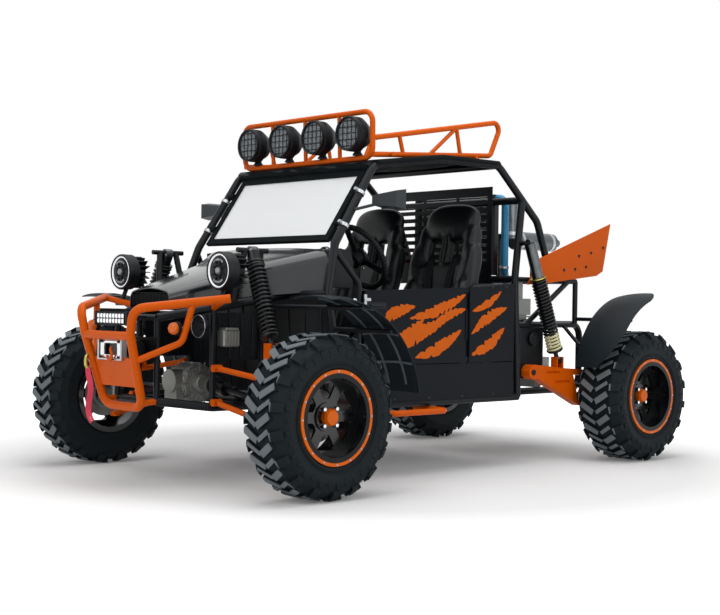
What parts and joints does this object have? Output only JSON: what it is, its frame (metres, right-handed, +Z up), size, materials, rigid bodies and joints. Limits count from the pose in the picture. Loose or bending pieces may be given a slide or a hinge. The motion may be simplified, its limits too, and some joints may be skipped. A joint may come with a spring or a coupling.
{
  "type": "dune buggy",
  "caption": "Two-seat off-road dune buggy with a tube frame and roll cage, open cabin, half doors, roof rack with lamps, front bull bar, rear engine and long-travel suspension.",
  "frame": {"origin": "centre of the overall bounding box in plan, on the floor the tyres stand on", "axes": "+X forward, +Y to the driver's left, +Z up"},
  "size_m": [3.1762, 1.869, 1.744],
  "materials": {
    "black_paint": "satin black powder coat",
    "orange_paint": "orange powder coat",
    "gloss_panel": "gloss blue-black paint",
    "bonnet_paint": "gloss dark grey paint",
    "black_plastic": "moulded",
    "grey_plastic": "moulded",
    "glass": "clear sheet",
    "soft_top": "woven",
    "lamp_black": "moulded",
    "lamp_lens": "clear lens over silver",
    "amber_lens": "moulded lens",
    "machined": "machined",
    "cast_alloy": "as cast",
    "spring_steel": "black coat",
    "bare_steel": "machined",
    "stainless": "polished",
    "blue_hose": "silicone",
    "seat_vinyl": "padded vinyl",
    "strap_red": "woven webbing",
    "tyre": "moulded rubber",
    "rim_black": "gloss black"
  },
  "bodies": {
    "chassis": {"lower_frame": "black_paint", "roll_cage": "black_paint", "front_bumper": "orange_paint", "roof_rack": "orange_paint", "side_steps": "orange_paint", "front_fenders": "black_plastic", "rear_fenders": "black_plastic", "floor_pan": "black_paint", "side_panels": "gloss_panel", "nose_cowl": "bonnet_paint", "dash_panel": "black_plastic", "windscreen_frame": "soft_top", "windscreen": "glass", "roof_canopy": "soft_top", "roof_lamps": "lamp_black", "headlights": "lamp_lens", "light_bar": "lamp_lens", "turn_signals": "amber_lens", "front_arms": "orange_paint", "dampers": "machined", "springs": "spring_steel", "halfshafts": "bare_steel", "rear_arms": "orange_paint", "steering_gear": "black_paint", "gearbox": "cast_alloy", "engine": "cast_alloy", "front_differential": "cast_alloy", "radiator": "machined", "firewall_grille": "black_paint", "silencer": "stainless", "air_can": "stainless", "coolant_hoses": "blue_hose", "seat_left": "seat_vinyl", "seat_right": "seat_vinyl", "fuel_tank": "black_plastic", "mirrors": "grey_plastic", "wing_plates": "orange_paint", "winch": "black_paint", "hook_strap": "strap_red", "tow_eye": "black_paint"},
    "knuckle_left": {"knuckle_left": "black_paint"},
    "knuckle_right": {"knuckle_right": "black_paint"},
    "steering_rack": {"steering_rack": "bare_steel"},
    "steering_wheel": {"steering_wheel": "black_plastic"},
    "door_left": {"door_left": "gloss_panel"},
    "door_right": {"door_right": "gloss_panel"},
    "wheel_front_left": {"tyre_front_left": "tyre", "rim_front_left": "rim_black", "trim_front_left": "orange_paint"},
    "wheel_front_right": {"tyre_front_right": "tyre", "rim_front_right": "rim_black", "trim_front_right": "orange_paint"},
    "wheel_rear_left": {"tyre_rear_left": "tyre", "rim_rear_left": "rim_black", "trim_rear_left": "orange_paint"},
    "wheel_rear_right": {"tyre_rear_right": "tyre", "rim_rear_right": "rim_black", "trim_rear_right": "orange_paint"}
  },
  "joints": [
    {"name": "steer_left", "type": "hinge", "parent": "chassis", "child": "knuckle_left", "pos_m": [1.0635, 0.69, 0.343], "axis": [0, 0, 1], "range_deg": [-30, 30]},
    {"name": "steer_right", "type": "hinge", "parent": "chassis", "child": "knuckle_right", "pos_m": [1.0635, -0.69, 0.343], "axis": [0, 0, 1], "range_deg": [-30, 30]},
    {"name": "steering_wheel_turn", "type": "hinge", "parent": "chassis", "child": "steering_wheel", "pos_m": [0.3385, 0.27, 1.03], "axis": [-0.867, 0, 0.4983], "range_deg": [-270, 270]},
    {"name": "rack_slide", "type": "slide", "parent": "chassis", "child": "steering_rack", "axis": [0, 1, 0], "range_m": [-0.056, 0.056]},
    {"name": "spin_front_left", "type": "hinge", "parent": "knuckle_left", "child": "wheel_front_left", "pos_m": [1.0635, 0.82, 0.343], "axis": [0, 1, 0], "continuous": true},
    {"name": "spin_front_right", "type": "hinge", "parent": "knuckle_right", "child": "wheel_front_right", "pos_m": [1.0635, -0.82, 0.343], "axis": [0, 1, 0], "continuous": true},
    {"name": "spin_rear_left", "type": "hinge", "parent": "chassis", "child": "wheel_rear_left", "pos_m": [-1.2465, 0.74, 0.343], "axis": [0, 1, 0], "continuous": true},
    {"name": "spin_rear_right", "type": "hinge", "parent": "chassis", "child": "wheel_rear_right", "pos_m": [-1.2465, -0.74, 0.343], "axis": [0, 1, 0], "continuous": true},
    {"name": "door_left_swing", "type": "hinge", "parent": "chassis", "child": "door_left", "pos_m": [-0.1095, 0.5863, 0.7], "axis": [0, 0, 1], "range_deg": [0, 75]},
    {"name": "door_right_swing", "type": "hinge", "parent": "chassis", "child": "door_right", "pos_m": [-0.1095, -0.5863, 0.7], "axis": [0, 0, -1], "range_deg": [0, 75]}
  ],
  "couplings": [
    {"joint": "steer_right", "follows": "steer_left", "ratio": 1},
    {"joint": "steering_wheel_turn", "follows": "steer_left", "ratio": 9},
    {"joint": "rack_slide", "follows": "steer_left", "m_per_rad": -0.095}
  ]
}
